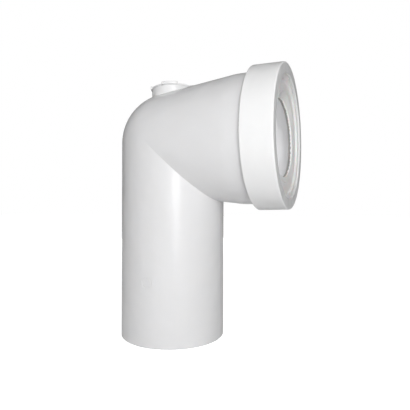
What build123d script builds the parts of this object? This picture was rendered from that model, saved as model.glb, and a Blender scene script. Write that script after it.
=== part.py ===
"""Ninety degree soil pipe connector for a WC pan, 110 mm size.

A moulded elbow has a plain spigot at its foot, a ball-shaped heel and a flared socket.
The socket's mouth carries a lip seal held by a retaining collar, and the boss on the
crown is closed by a plug with a sealing ring.

Frame: origin at the centre of the spigot's end, +Z up the spigot, +X out of the socket.
"""
from build123d import *
from math import cos, radians, sin
import os

# Driving dimensions, in millimetres and degrees
spigot_radius = 55.0
spigot_entry = 56.0
draft = 0.3
wall = 3.0
bend_height = 204.7
flare_angle = 6.6
flare_blend = 45.0
socket_radius = 65.0
socket_end = 120.6
edge_break = 0.6
running_gap = 0.3

collar_back = 97.8
collar_front = 127.1
collar_back_radius = 71.0
collar_front_radius = 70.3
collar_mouth_radius = 59.6
collar_lip = 1.8
collar_wall = 2.9
collar_land = 3.4

seal_lip_radius = 38.5
seal_lip_length = 2.4
seal_lip_roll = 1.4
seal_lip_tip = 1.2
seal_lip_recess = 2.2
seal_shoulder_radius = 55.5
seal_shoulder_slope = 0.4
seal_step = 2.0
seal_step_draft = 0.7
seal_dish = 0.3
seal_web = 2.2
seal_rim = 0.7
seal_groove_at = 44.5
seal_groove_radius = 0.6
seal_skirt_back = 107.0

boss_radius = 23.5
boss_bore_radius = 20.5
boss_top = 264.3
boss_root_fillet = 1.2

plug_flange = 1.8
plug_depth = 8.0
plug_cup_radius = 16.2
plug_well_radius = 16.2
plug_floor_top = 263.2
plug_floor = 2.0

lug_count = 4
lug_first_angle = 16.0
lug_spread = 42.0
lug_inner_radius = 19.8
lug_outer_radius = 25.0
lug_bottom = 264.9
lug_top = 267.8
lug_corner = 0.9
lug_fillet = 0.5

ring_section_radius = 1.0
ring_groove_width = 2.4
ring_middle = 261.6
ring_bore_gap = 0.15
ring_floor_gap = 0.05

roundel_height = 63.0
roundel_radius = 5.5
roundel_line = 1.2
roundel_depth = 0.5

# Derived dimensions
ball_radius = spigot_radius + draft
seal_front = collar_front - collar_lip
pocket_radius = collar_front_radius - collar_wall
land_radius = socket_radius + running_gap
plug_radius = boss_bore_radius - running_gap
plug_foot = boss_top - plug_depth
ring_radius = boss_bore_radius - ring_bore_gap - ring_section_radius
ring_floor = ring_radius - ring_section_radius - ring_floor_gap
overcut = 2.0

socket_axis = Axis((0, 0, bend_height), (1, 0, 0))
# Local x runs out along the socket and local y is the distance from its axis.
socket_plane = Plane(origin=(0, 0, bend_height), x_dir=(1, 0, 0), z_dir=(0, -1, 0))


def bend(inset, foot, end, mode=Mode.ADD):
    """Upright pipe under a ball, with a cone tangent to the ball opening into a round socket.

    The skin is inset from the outer one. The pipe is straight over its entry and then has draft.
    """
    entry = spigot_radius - inset
    ball = ball_radius - inset
    mouth = socket_radius - inset
    slope = radians(flare_angle)
    flare_start = (-ball * sin(slope), ball * cos(slope))
    flare_end = ((mouth * cos(slope) - ball) / sin(slope), mouth)
    with BuildSketch(socket_plane) as section:
        with BuildLine():
            heel = CenterArc((0, 0), ball, 180, flare_angle - 90)
            FilletPolyline(flare_start, flare_end, (end, mouth), radius=flare_blend)
            Polyline((end, mouth), (end, 0), heel @ 0)
        make_face()
    revolve(section.sketch, axis=socket_axis, mode=mode)
    with BuildSketch(Plane.XZ) as pipe:
        with BuildLine():
            Polyline(
                (0, foot),
                (entry, foot),
                (entry, spigot_entry),
                (ball, bend_height),
                (0, bend_height),
                close=True,
            )
        make_face()
    revolve(pipe.sketch, axis=Axis.Z, mode=mode)


os.makedirs("parts", exist_ok=True)

with BuildPart() as elbow_body:
    bend(0, 0, socket_end)
    # Boss on the crown, in line with the spigot
    rim_break = edge_break / 2
    with BuildSketch(Plane.XZ) as boss:
        with BuildLine():
            Polyline(
                (0, bend_height),
                (boss_radius, bend_height),
                (boss_radius, boss_top - rim_break),
                (boss_radius - rim_break, boss_top),
                (0, boss_top),
                close=True,
            )
        make_face()
    revolve(boss.sketch, axis=Axis.Z)
    fillet(elbow_body.edges(Select.NEW), boss_root_fillet)
    # Waterway, open at the spigot, the socket and the boss
    bend(wall, -overcut, socket_end + overcut, Mode.SUBTRACT)
    with BuildSketch(Plane.XZ) as boss_bore:
        with BuildLine():
            Polyline(
                (0, bend_height),
                (boss_bore_radius, bend_height),
                (boss_bore_radius, boss_top - rim_break),
                (boss_bore_radius + rim_break, boss_top),
                (0, boss_top),
                close=True,
            )
        make_face()
    revolve(boss_bore.sketch, axis=Axis.Z, mode=Mode.SUBTRACT)
    # Edge breaks at the spigot's end and the socket's mouth
    rims = elbow_body.edges().filter_by(GeomType.CIRCLE)
    foot_rims = rims.filter_by_position(Axis.Z, -0.01, 0.01)
    mouth_rims = rims.filter_by_position(Axis.X, socket_end - 0.01, socket_end + 0.01)
    chamfer(foot_rims + mouth_rims, edge_break)
    # Round mould-insert mark, a shallow ring sunk into the side of the spigot
    roundel_place = (0, -spigot_radius - overcut, roundel_height)
    with BuildSketch(Plane(origin=roundel_place, x_dir=(1, 0, 0), z_dir=(0, 1, 0))):
        Circle(roundel_radius)
        Circle(roundel_radius - roundel_line, mode=Mode.SUBTRACT)
    extrude(amount=overcut + roundel_depth, mode=Mode.SUBTRACT)
elbow_body.part.label = "elbow_body"
export_step(elbow_body.part, "parts/elbow_body.step")

with BuildPart() as retaining_collar:
    land_front = collar_back + collar_land
    pocket_slope = pocket_radius - land_radius
    with BuildSketch(socket_plane):
        with BuildLine():
            Polyline(
                (collar_back, land_radius),
                (collar_back, collar_back_radius),
                (collar_front, collar_front_radius),
                (collar_front, collar_mouth_radius),
                (seal_front, collar_mouth_radius),
                (seal_front, pocket_radius),
                (land_front + pocket_slope, pocket_radius),
                (land_front, land_radius),
                close=True,
            )
        make_face()
    revolve(axis=socket_axis)
    collar_rims = retaining_collar.edges().filter_by(GeomType.CIRCLE)
    back_rim = collar_rims.filter_by_position(Axis.X, collar_back - 0.01, collar_back + 0.01)
    front_rim = collar_rims.filter_by_position(Axis.X, collar_front - 0.01, collar_front + 0.01)
    fillet(front_rim.sort_by(SortBy.RADIUS)[-1], 1.2)
    fillet(front_rim.sort_by(SortBy.RADIUS)[0], 1.0)
    fillet(back_rim.sort_by(SortBy.RADIUS)[-1], 0.5)
retaining_collar.part.label = "retaining_collar"
export_step(retaining_collar.part, "parts/retaining_collar.step")

with BuildPart() as inlet_seal:
    skirt_radius = pocket_radius - 0.1
    shoulder = seal_front - seal_shoulder_slope
    step_foot = shoulder - seal_step
    face = step_foot - seal_dish
    lip_front = face - seal_lip_recess - seal_lip_roll
    lip_back = lip_front - seal_lip_length
    web_back = face - seal_web
    with BuildSketch(socket_plane):
        with BuildLine():
            # Shoulder under the collar's lip, a step down and a dished face with a hinge groove,
            # from where the lip leans inwards
            Polyline(
                (seal_skirt_back, land_radius),
                (seal_skirt_back, skirt_radius),
                (seal_front, skirt_radius),
                (seal_front, collar_mouth_radius - seal_rim),
                (shoulder, seal_shoulder_radius),
                (step_foot, seal_shoulder_radius - seal_step_draft),
                (face, seal_groove_at + seal_groove_radius),
            )
            groove = CenterArc((face, seal_groove_at), seal_groove_radius, 90, 180)
            roll_centre = (lip_front, seal_lip_radius + seal_lip_roll)
            roll = CenterArc(roll_centre, seal_lip_roll, 0, -90)
            Line(groove @ 1, roll @ 0)
            # Lip, back of the web, seat on the socket's end and skirt round the socket
            Polyline(
                roll @ 1,
                (lip_back, seal_lip_radius),
                (lip_back, seal_lip_radius + seal_lip_tip),
                (web_back, seal_groove_at - seal_groove_radius),
                (web_back, seal_shoulder_radius),
                (socket_end, collar_mouth_radius),
                (socket_end, land_radius),
                (seal_skirt_back, land_radius),
            )
        make_face()
    revolve(axis=socket_axis)
inlet_seal.part.label = "inlet_seal"
export_step(inlet_seal.part, "parts/inlet_seal.step")

with BuildSketch(Plane.XY.offset(lug_bottom)) as lug_section:
    with BuildLine():
        lug_outside = CenterArc((0, 0), lug_outer_radius, -lug_spread / 2, lug_spread)
        lug_inside = CenterArc((0, 0), lug_inner_radius, -lug_spread / 2, lug_spread)
        Line(lug_inside @ 0, lug_outside @ 0)
        Line(lug_inside @ 1, lug_outside @ 1)
    make_face()
    fillet(lug_section.vertices(), lug_corner)

with BuildPart() as boss_plug:
    # Flanged cup with a finger well in its top and a groove for the sealing ring
    flange_top = boss_top + plug_flange
    floor_bottom = plug_floor_top - plug_floor
    groove_top = ring_middle + ring_groove_width / 2
    groove_foot = ring_middle - ring_groove_width / 2
    with BuildSketch(Plane.XZ):
        with BuildLine():
            Polyline(
                (0, plug_floor_top),
                (plug_well_radius, plug_floor_top),
                (plug_well_radius, flange_top),
                (boss_radius, flange_top),
                (boss_radius, boss_top),
                (plug_radius, boss_top),
                (plug_radius, groove_top),
                (ring_floor, groove_top),
                (ring_floor, groove_foot),
                (plug_radius, groove_foot),
                (plug_radius, plug_foot),
                (plug_cup_radius, plug_foot),
                (plug_cup_radius, floor_bottom),
                (0, floor_bottom),
                close=True,
            )
        make_face()
    revolve(axis=Axis.Z)
    plug_rims = boss_plug.edges().filter_by(GeomType.CIRCLE)
    flange_rims = plug_rims.filter_by_position(Axis.Z, flange_top - 0.01, flange_top + 0.01)
    foot_rims = plug_rims.filter_by_position(Axis.Z, plug_foot - 0.01, plug_foot + 0.01)
    fillet(flange_rims, 0.8)
    chamfer(foot_rims.sort_by(SortBy.RADIUS)[-1], 0.8)
    # Finger lugs standing proud of the flange
    with BuildSketch(Plane.XY.offset(lug_bottom)):
        with PolarLocations(0, lug_count, start_angle=lug_first_angle):
            add(lug_section.sketch)
    extrude(amount=lug_top - lug_bottom)
    fillet(boss_plug.edges().filter_by_position(Axis.Z, lug_top - 0.01, lug_top + 0.01), lug_fillet)
boss_plug.part.label = "boss_plug"
export_step(boss_plug.part, "parts/boss_plug.step")

with BuildPart() as boss_seal_ring:
    with BuildSketch(Plane.XZ):
        with Locations((ring_radius, ring_middle)):
            Circle(ring_section_radius)
    revolve(axis=Axis.Z)
boss_seal_ring.part.label = "boss_seal_ring"
export_step(boss_seal_ring.part, "parts/boss_seal_ring.step")
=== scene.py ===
import math

import bmesh
import bpy
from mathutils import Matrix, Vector, noise


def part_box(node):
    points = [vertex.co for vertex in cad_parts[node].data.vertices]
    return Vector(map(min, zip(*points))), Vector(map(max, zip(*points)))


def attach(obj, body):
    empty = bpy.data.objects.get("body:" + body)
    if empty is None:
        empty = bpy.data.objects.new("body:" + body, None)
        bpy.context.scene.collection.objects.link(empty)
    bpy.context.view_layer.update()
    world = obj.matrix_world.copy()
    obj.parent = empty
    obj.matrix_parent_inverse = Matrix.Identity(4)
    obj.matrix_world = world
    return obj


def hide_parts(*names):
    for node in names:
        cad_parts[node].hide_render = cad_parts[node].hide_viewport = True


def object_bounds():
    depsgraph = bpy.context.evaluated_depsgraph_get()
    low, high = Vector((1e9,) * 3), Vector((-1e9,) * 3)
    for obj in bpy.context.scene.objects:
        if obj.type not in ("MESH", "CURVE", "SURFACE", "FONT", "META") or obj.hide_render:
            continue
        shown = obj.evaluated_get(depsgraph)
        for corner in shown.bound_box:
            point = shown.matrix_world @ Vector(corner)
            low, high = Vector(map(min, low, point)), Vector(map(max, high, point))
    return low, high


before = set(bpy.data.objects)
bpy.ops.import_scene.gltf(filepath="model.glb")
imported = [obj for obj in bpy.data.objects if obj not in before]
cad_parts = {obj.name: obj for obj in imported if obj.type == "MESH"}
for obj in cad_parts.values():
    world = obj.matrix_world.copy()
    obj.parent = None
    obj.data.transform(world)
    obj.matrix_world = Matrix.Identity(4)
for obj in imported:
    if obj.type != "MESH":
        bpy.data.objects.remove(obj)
cad_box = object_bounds()
scene = bpy.context.scene

# Places on the object, in metres, read from the frame
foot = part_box("elbow_body")[0].z
seal_low, seal_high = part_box("inlet_seal")
socket_height = (seal_low.z + seal_high.z) / 2
seal_radius = (seal_high.z - seal_low.z) / 2
plug_low, plug_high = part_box("boss_plug")
boss_axis = (plug_low.x + plug_high.x) / 2
ring_low, ring_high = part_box("boss_seal_ring")
ring_middle = (ring_low.z + ring_high.z) / 2
lights_target = Vector(((cad_box[0].x + cad_box[1].x) / 2, 0, socket_height * 0.75))

# The boss on the crown, in metres
boss_radius = 0.0235

# The lip seal's section, in metres. Its web's face is set back from the front of its shoulder.
face_back = 0.0027
web_thickness = 0.0022
skirt_thickness = 0.0020
seat_radius = 0.0596
hinge_radius = 0.0445
hinge_half = 0.0006
lip_radius = 0.0385
lip_land = 0.0024
lip_roll = 0.0014
lip_tip = 0.0012
lip_recess = 0.0022
shoulder_radius = 0.0589
step_radius = 0.0555
step_foot_radius = 0.0548
mould_ring_radii = (0.0525, 0.0500)
web_face = seal_high.x - face_back
lip_front = web_face - lip_recess - lip_roll

# Base colours
body_white = (0.73, 0.73, 0.737)
# Painted highlight for the boss on the crown
boss_highlight_white = (0.86, 0.86, 0.86)
collar_white = (0.83, 0.83, 0.83)
plug_white = (0.84, 0.84, 0.84)
rubber_grey, rubber_white = (0.79, 0.79, 0.78), (0.83, 0.83, 0.82)
# Painted shade for the shadowed gap behind the seal's lip
lip_painted_shade = (0.26, 0.26, 0.25)
black_rubber, dusty_rubber = (0.022, 0.022, 0.023), (0.075, 0.073, 0.070)
paper_low, paper_high = (0.80, 0.80, 0.80), (0.84, 0.84, 0.84)


# ---------------------------------------------------------------- node helpers

class Shader:
    """A material's node tree, with short ways to add and join its nodes."""

    def __init__(self, name):
        self.material = bpy.data.materials.new(name)
        self.material.use_nodes = True
        self.tree = self.material.node_tree
        self.surface = self.tree.nodes["Principled BSDF"]
        self.place = self.tree.nodes.new("ShaderNodeTexCoord").outputs["Object"]
        self.x, self.y, self.z = self.split(self.place)

    def put(self, node, key, value):
        """Sets an input, or joins it to another node's output."""
        if isinstance(value, bpy.types.NodeSocket):
            self.tree.links.new(value, node.inputs[key])
        else:
            node.inputs[key].default_value = value

    def set(self, key, value):
        self.put(self.surface, key, value)

    def split(self, vector):
        node = self.tree.nodes.new("ShaderNodeSeparateXYZ")
        self.put(node, 0, vector)
        return node.outputs[0], node.outputs[1], node.outputs[2]

    def math(self, operation, *values):
        node = self.tree.nodes.new("ShaderNodeMath")
        node.operation = operation
        for index, value in enumerate(values):
            self.put(node, index, value)
        return node.outputs[0]

    def distance(self, across, up):
        """Distance from an axis, given the two amounts off it."""
        squares = self.math("MULTIPLY_ADD", up, up, self.math("MULTIPLY", across, across))
        return self.math("SQRT", squares)

    def stretched(self, *stretch):
        """The object's own place, with its axes scaled by these amounts."""
        node = self.tree.nodes.new("ShaderNodeMapping")
        self.put(node, "Vector", self.place)
        node.inputs["Scale"].default_value = stretch
        return node.outputs[0]

    def noise(self, size, detail=3.0, roughness=0.5, place=None):
        """Fractal noise from 0 to 1 whose features are about this many metres across."""
        node = self.tree.nodes.new("ShaderNodeTexNoise")
        self.put(node, "Vector", place or self.place)
        node.inputs["Scale"].default_value = 1 / size
        node.inputs["Detail"].default_value = detail
        node.inputs["Roughness"].default_value = roughness
        return node.outputs["Fac"]

    def ramp(self, value, low, high, at_low=0.0, at_high=1.0):
        """Smooth step of a value, at_low below low and at_high above high."""
        node = self.tree.nodes.new("ShaderNodeMapRange")
        node.interpolation_type = "SMOOTHSTEP"
        self.put(node, "Value", value)
        node.inputs["From Min"].default_value = low
        node.inputs["From Max"].default_value = high
        node.inputs["To Min"].default_value = at_low
        node.inputs["To Max"].default_value = at_high
        return node.outputs[0]

    def blend(self, factor, first, second):
        """Mix of two colours, each an (r, g, b) or another node's output."""
        node = self.tree.nodes.new("ShaderNodeMix")
        node.data_type = "RGBA"
        self.put(node, 0, factor)
        for key, colour in ((6, first), (7, second)):
            self.put(node, key, colour if isinstance(colour, bpy.types.NodeSocket) else (*colour, 1))
        return node.outputs[2]

    def bump(self, height, depth, under=None):
        """Bump of this depth in metres, laid over another bump where one is given."""
        node = self.tree.nodes.new("ShaderNodeBump")
        node.inputs["Distance"].default_value = depth
        self.put(node, "Height", height)
        if under:
            self.put(node, "Normal", under)
        return node.outputs[0]


# -------------------------------------------------------------------- materials

def moulded_plastic(name, tint, gloss, flow, seam=None, highlight_mask=None):
    """White polypropylene with clouding, flow streaks, wavy walls, orange peel, light handling and,
    where a mask is given, a painted highlight.

    The gloss stays under the roughness at which a noisy render would break it into patches.
    """
    shader = Shader(name)
    shaded, soiled = (tuple(value * share for value in tint) for share in (0.99, 0.965))
    cloud = shader.ramp(shader.noise(0.060, detail=2.0), 0.25, 0.75)
    speck = shader.ramp(shader.noise(0.003, detail=5.0, roughness=0.7), 0.60, 0.85, 0.0, 0.5)
    colour = shader.blend(cloud, shaded, tint)
    colour = shader.blend(flow(shader), colour, shaded)
    # Painted highlight: where a mask is given, that part is painted whiter
    if highlight_mask:
        colour = shader.blend(highlight_mask(shader), colour, boss_highlight_white)
    shader.set("Base Color", shader.blend(speck, colour, soiled))

    handled = shader.ramp(shader.noise(0.030, detail=4.0), 0.35, 0.85)
    grain = shader.noise(0.0015)
    polish = shader.math("MULTIPLY_ADD", grain, 0.02, gloss)
    shader.set("Roughness", shader.math("MULTIPLY_ADD", handled, 0.04, polish))
    shader.set("IOR", 1.49)
    shader.set("Subsurface Weight", 0.35)
    shader.set("Subsurface Radius", (1.0, 0.96, 0.92))
    shader.set("Subsurface Scale", 0.004)

    wave_depth, peel_depth, seam_height, grain_depth = 0.0010, 0.00002, 0.00008, 0.000006
    relief = shader.bump(shader.noise(0.022, detail=1.0), wave_depth)
    relief = shader.bump(shader.noise(0.0022, detail=2.0), peel_depth, under=relief)
    if seam:
        relief = shader.bump(seam(shader), seam_height, under=relief)
    shader.set("Normal", shader.bump(grain, grain_depth, under=relief))
    return shader.material


def streaks(shader, size, *stretch):
    """Noise of this size, drawn out along each axis whose stretch is small."""
    return shader.noise(size, detail=4.0, place=shader.stretched(*stretch))


def faint(shader, pattern):
    """The stronger half of a pattern, never at full strength."""
    return shader.ramp(pattern, 0.5, 0.75, 0.0, 0.6)


def lengthwise_streaks(shader):
    """Streaks that run up the spigot and, above it, out along the socket."""
    up = streaks(shader, 0.004, 1, 1, 0.08)
    out = streaks(shader, 0.004, 0.08, 1, 1)
    above = shader.ramp(shader.z, socket_height - 0.06, socket_height - 0.01)
    out_part = shader.math("MULTIPLY", out, above)
    up_part = shader.math("MULTIPLY", up, shader.math("SUBTRACT", 1.0, above))
    return faint(shader, shader.math("ADD", out_part, up_part))


def outward_streaks(shader):
    return faint(shader, streaks(shader, 0.004, 0.08, 1, 1))


def upward_streaks(shader):
    return faint(shader, streaks(shader, 0.002, 1, 1, 0.1))


def parting_line(shader):
    """Fine raised line where the two halves of the elbow's mould met."""
    return shader.ramp(shader.math("ABSOLUTE", shader.y), 0.00008, 0.00035, 1.0, 0.0)


def boss_highlight_mask(shader):
    """Painted highlight: the boss on the crown, painted whiter than the rest of the elbow for the light
    it catches.
    """
    off_axis = shader.distance(shader.math("SUBTRACT", shader.x, boss_axis), shader.y)
    return shader.ramp(off_axis, boss_radius + 0.0003, boss_radius + 0.0015, 1.0, 0.0)


def seal_rubber(name):
    """Pale satin rubber with turned mould lines. Its lip's back edge has a dark, ragged band of painted
    shade.
    """
    shader = Shader(name)
    cloud = shader.ramp(shader.noise(0.020), 0.25, 0.75)
    colour = shader.blend(cloud, rubber_grey, rubber_white)
    behind = shader.tree.nodes.new("ShaderNodeAttribute")
    behind.attribute_name = "behind_lip"
    # Painted shade: the lip's back edge is darkened in a ragged band, where the gap behind it lies in
    # shadow
    shade_ragging = shader.noise(0.0024, detail=4.0, roughness=0.7)
    ragged = shader.math("MULTIPLY_ADD", shade_ragging, -1.3, behind.outputs["Fac"])
    shader.set("Base Color", shader.blend(shader.ramp(ragged, -0.62, -0.50), colour, lip_painted_shade))

    bloom = shader.noise(0.006, detail=5.0, roughness=0.6)
    shader.set("Roughness", shader.math("MULTIPLY_ADD", bloom, 0.14, 0.36))
    shader.set("IOR", 1.50)
    shader.set("Subsurface Weight", 0.2)
    shader.set("Subsurface Scale", 0.002)

    line_spacing, line_depth, grain_depth = 0.0008, 0.000008, 0.00001
    radius = shader.distance(shader.y, shader.math("SUBTRACT", shader.z, socket_height))
    turned = shader.math("SINE", shader.math("MULTIPLY", radius, 2 * math.pi / line_spacing))
    lines = shader.bump(turned, line_depth)
    shader.set("Normal", shader.bump(shader.noise(0.0008, detail=4.0), grain_depth, under=lines))
    return shader.material


def ring_rubber(name):
    """Black sealing rubber with a dusty bloom and a trace of its mould's flash line."""
    shader = Shader(name)
    bloom = shader.ramp(shader.noise(0.004, detail=5.0, roughness=0.65), 0.45, 0.80, 0.0, 0.6)
    shader.set("Base Color", shader.blend(bloom, black_rubber, dusty_rubber))
    shader.set("Roughness", shader.math("MULTIPLY_ADD", bloom, 0.25, 0.48))
    shader.set("IOR", 1.52)

    flash_height, grain_depth = 0.00005, 0.00001
    off_middle = shader.math("ABSOLUTE", shader.math("SUBTRACT", shader.z, ring_middle))
    flash = shader.bump(shader.ramp(off_middle, 0.00004, 0.00016, 1.0, 0.0), flash_height)
    shader.set("Normal", shader.bump(shader.noise(0.0006, detail=4.0), grain_depth, under=flash))
    return shader.material


def put_on(node, material):
    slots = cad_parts[node].data.materials
    for index in range(len(slots)):
        slots[index] = material


body_plastic = moulded_plastic(
    "body_polypropylene", body_white, 0.205, lengthwise_streaks, parting_line, boss_highlight_mask
)
put_on("elbow_body", body_plastic)
put_on("retaining_collar", moulded_plastic("collar_polypropylene", collar_white, 0.21, outward_streaks))
put_on("boss_plug", moulded_plastic("plug_polypropylene", plug_white, 0.21, upward_streaks))
put_on("boss_seal_ring", ring_rubber("ring_rubber"))


# --------------------------------------------------------------------- lip seal

def rounded(corners, steps=5):
    """Closed outline through (x, radius, rounding) corners, each one turned into a small curve."""
    points = [Vector(corner[:2]) for corner in corners]
    almost_half = 0.48
    outline = []
    for index, corner in enumerate(points):
        rounding = corners[index][2]
        sides = [points[index - 1] - corner, points[(index + 1) % len(points)] - corner]
        reaches = [min(rounding, side.length * almost_half) for side in sides]
        start, end = (corner + side.normalized() * reach for side, reach in zip(sides, reaches))
        for step in range(steps + 1):
            share = step / steps
            outline.append(start.lerp(corner, share).lerp(corner.lerp(end, share), share))
    return outline


def groove(radius, half, depth):
    """Corners of a small groove, turned in the web's face at this radius."""
    brink, bottom = 0.0001, 0.0003
    return [
        (web_face, radius + half, brink),
        (web_face - depth, radius, bottom),
        (web_face, radius - half, brink),
    ]


def seal_section():
    """Skirt and seat round the socket's end, a shoulder, a grooved web and the rolled lip."""
    front = seal_high.x
    web_back = web_face - web_thickness
    seat_rise = 0.0002
    seat = web_back + seat_rise
    skirt_inside = seal_radius - skirt_thickness
    lip_back = lip_front - lip_land
    fine = 0.00025
    shoulder_fall = 0.0004
    step_rise = 0.0003
    ring_half, ring_depth = 0.0003, 0.00012
    corners = [
        (seal_low.x, skirt_inside, fine),
        (seal_low.x, seal_radius, fine),
        (front, seal_radius, fine),
        (front, shoulder_radius, fine),
        (front - shoulder_fall, step_radius, shoulder_fall),
        (web_face + step_rise, step_foot_radius, step_rise),
    ]
    for radius in mould_ring_radii:
        corners += groove(radius, ring_half, ring_depth)
    corners += groove(hinge_radius, hinge_half, hinge_half)
    corners += [
        (lip_front + lip_roll, lip_radius + lip_roll, fine),
        (lip_front + lip_roll, lip_radius, lip_roll),
        (lip_back, lip_radius, fine),
        (lip_back, lip_radius + lip_tip, fine),
        (web_back, hinge_radius - hinge_half, hinge_half),
        (web_back, step_radius, fine),
        (seat, seat_radius, fine),
        (seat, skirt_inside, fine),
    ]
    return rounded(corners)


def lip_seal(turns=360):
    """The section turned about the socket's axis. Its soft lip leans a little and isn't quite true."""
    section = seal_section()
    lean_across, lean_up = 0.0019, -0.0011
    along_wave, along_ripple = 0.00010, 0.00012
    out_wave, out_ripple = 0.00012, 0.00010
    mesh = bmesh.new()
    behind_lip = mesh.verts.layers.float.new("behind_lip")
    rings = []
    for turn in range(turns):
        angle = 2 * math.pi * turn / turns
        across, up = math.cos(angle), math.sin(angle)
        wave = noise.noise(Vector((across, up, 0)) * 3)
        ripple = noise.noise(Vector((across, up, 4)) * 22)
        ring = []
        for x, radius in section:
            softness = max(0.0, min(1.0, (hinge_radius - radius) / (hinge_radius - lip_radius)))
            lean = lean_across * across + lean_up * up
            along = x + softness * (lean + along_wave * wave + along_ripple * ripple)
            out = radius + softness * (out_wave * wave + out_ripple * ripple)
            vertex = mesh.verts.new((along, out * across, socket_height + out * up))
            on_lip = radius < lip_radius + lip_tip
            vertex[behind_lip] = (lip_front - x) / lip_land if on_lip else -1.0
            ring.append(vertex)
        rings.append(ring)
    for turn in range(turns):
        here, there = rings[turn], rings[(turn + 1) % turns]
        for index in range(len(section)):
            after = (index + 1) % len(section)
            mesh.faces.new((here[index], here[after], there[after], there[index]))
    bmesh.ops.recalc_face_normals(mesh, faces=mesh.faces)
    data = bpy.data.meshes.new("lip_seal")
    mesh.to_mesh(data)
    mesh.free()
    data.polygons.foreach_set("use_smooth", [True] * len(data.polygons))
    piece = bpy.data.objects.new("lip_seal", data)
    scene.collection.objects.link(piece)
    data.materials.append(seal_rubber("seal_elastomer"))
    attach(piece, "collar")
    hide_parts("inlet_seal")


lip_seal()


# ------------------------------------------------------------------------ stage

def soft_light(name, azimuth, height, distance, size, energy, glossy=True, roll=0.0):
    """Soft box that faces the object. Azimuth 0 is in front of it and 90 on the socket's side."""
    light = bpy.data.lights.new(name, "AREA")
    light.shape = "RECTANGLE"
    light.size, light.size_y = size
    light.energy = energy
    holder = bpy.data.objects.new(name, light)
    scene.collection.objects.link(holder)
    turn = math.radians(azimuth)
    holder.location = (distance * math.sin(turn), -distance * math.cos(turn), height)
    facing = (lights_target - holder.location).to_track_quat("-Z", "Y").to_matrix()
    holder.rotation_euler = facing.to_euler()
    holder.rotation_euler.rotate_axis("Z", math.radians(roll))
    holder.visible_glossy = glossy


def wall_glow(power):
    """Lamps along the waterway, for the daylight that the thin white wall lets through."""
    inside_socket = (0.05, socket_height)
    up_the_spigot = [(0.0, socket_height * share) for share in (0.85, 0.5, 0.2)]
    for index, (out, up) in enumerate([inside_socket, *up_the_spigot]):
        lamp = bpy.data.lights.new(f"wall_glow_{index}", "POINT")
        lamp.energy = power
        lamp.shadow_soft_size = 0.03
        holder = bpy.data.objects.new(lamp.name, lamp)
        scene.collection.objects.link(holder)
        holder.location = (out, 0, up)
        holder.visible_glossy = False
        holder.visible_camera = False


def studio_world(ambient):
    """White backdrop to the eye, and a weaker even light for everything else."""
    world = bpy.data.worlds.new("studio")
    world.use_nodes = True
    nodes, links = world.node_tree.nodes, world.node_tree.links
    seen = nodes.new("ShaderNodeLightPath").outputs["Is Camera Ray"]
    strength = nodes.new("ShaderNodeMapRange")
    strength.inputs["To Min"].default_value = ambient
    strength.inputs["To Max"].default_value = 1.0
    links.new(seen, strength.inputs["Value"])
    links.new(strength.outputs[0], nodes["Background"].inputs["Strength"])
    nodes["Background"].inputs["Color"].default_value = (1, 1, 1, 1)
    scene.world = world


def paper_floor(reach, glow):
    """Pale paper under the object, bright to the eye and clear from below."""
    data = bpy.data.meshes.new("floor")
    corners = [(x * reach, y * reach, foot) for x, y in ((-1, -1), (1, -1), (1, 1), (-1, 1))]
    data.from_pydata(corners, [], [(0, 1, 2, 3)])
    floor = bpy.data.objects.new("floor", data)
    scene.collection.objects.link(floor)
    shader = Shader("floor_paper")
    fibre = shader.noise(0.0008, detail=4.0)
    shader.set("Base Color", shader.blend(fibre, paper_low, paper_high))
    shader.set("Roughness", 0.9)
    nodes, links = shader.tree.nodes, shader.tree.links
    seen = nodes.new("ShaderNodeLightPath").outputs["Is Camera Ray"]
    below = nodes.new("ShaderNodeNewGeometry").outputs["Backfacing"]
    bright = nodes.new("ShaderNodeEmission")
    bright.inputs["Strength"].default_value = glow
    mixed = nodes.new("ShaderNodeMixShader")
    to_the_eye, to_the_rest = 0.50, 0.03
    share = shader.math("MULTIPLY_ADD", seen, to_the_eye - to_the_rest, to_the_rest)
    links.new(share, mixed.inputs[0])
    links.new(shader.surface.outputs[0], mixed.inputs[1])
    links.new(bright.outputs[0], mixed.inputs[2])
    clear_below = nodes.new("ShaderNodeMixShader")
    links.new(below, clear_below.inputs[0])
    links.new(mixed.outputs[0], clear_below.inputs[1])
    links.new(nodes.new("ShaderNodeBsdfTransparent").outputs[0], clear_below.inputs[2])
    links.new(clear_below.outputs[0], nodes["Material Output"].inputs["Surface"])
    data.materials.append(shader.material)


def aim_camera(azimuth, distance, height, turn, tilt, roll, lens):
    """Camera at that azimuth round the spigot's axis. Turn is to its left, tilt is upwards."""
    camera = bpy.data.objects.new("camera", bpy.data.cameras.new("camera"))
    scene.collection.objects.link(camera)
    camera.data.lens = lens
    camera.data.sensor_width = 36.0
    camera.data.clip_start = 0.01
    place = math.radians(azimuth)
    camera.location = (distance * math.sin(place), -distance * math.cos(place), height)
    camera.rotation_euler = (math.radians(90 + tilt), 0, math.radians(azimuth + turn))
    camera.rotation_euler.rotate_axis("Z", math.radians(roll))
    scene.camera = camera


aim_camera(
    azimuth=27.66, distance=0.4271, height=0.1355, turn=-4.6745, tilt=0.471, roll=0.183, lens=33.998
)
studio_world(ambient=0.17)
paper_floor(reach=6.0, glow=1.9)
soft_light("key", azimuth=25, height=0.25, distance=0.6, size=(0.33, 0.33), energy=1.08, glossy=False)
soft_light("side", azimuth=50, height=0.25, distance=0.9, size=(0.5, 0.5), energy=1.2, glossy=False)
soft_light("streak", azimuth=29, height=0.50, distance=1.4, size=(0.35, 1.0), energy=6.3, roll=22)
soft_light("top", azimuth=-20, height=1.3, distance=0.5, size=(0.8, 0.8), energy=2.2, glossy=False)
soft_light("back", azimuth=207, height=0.25, distance=1.3, size=(0.8, 0.4), energy=6, glossy=False)
wall_glow(power=0.042)
scene.view_settings.view_transform = "Standard"
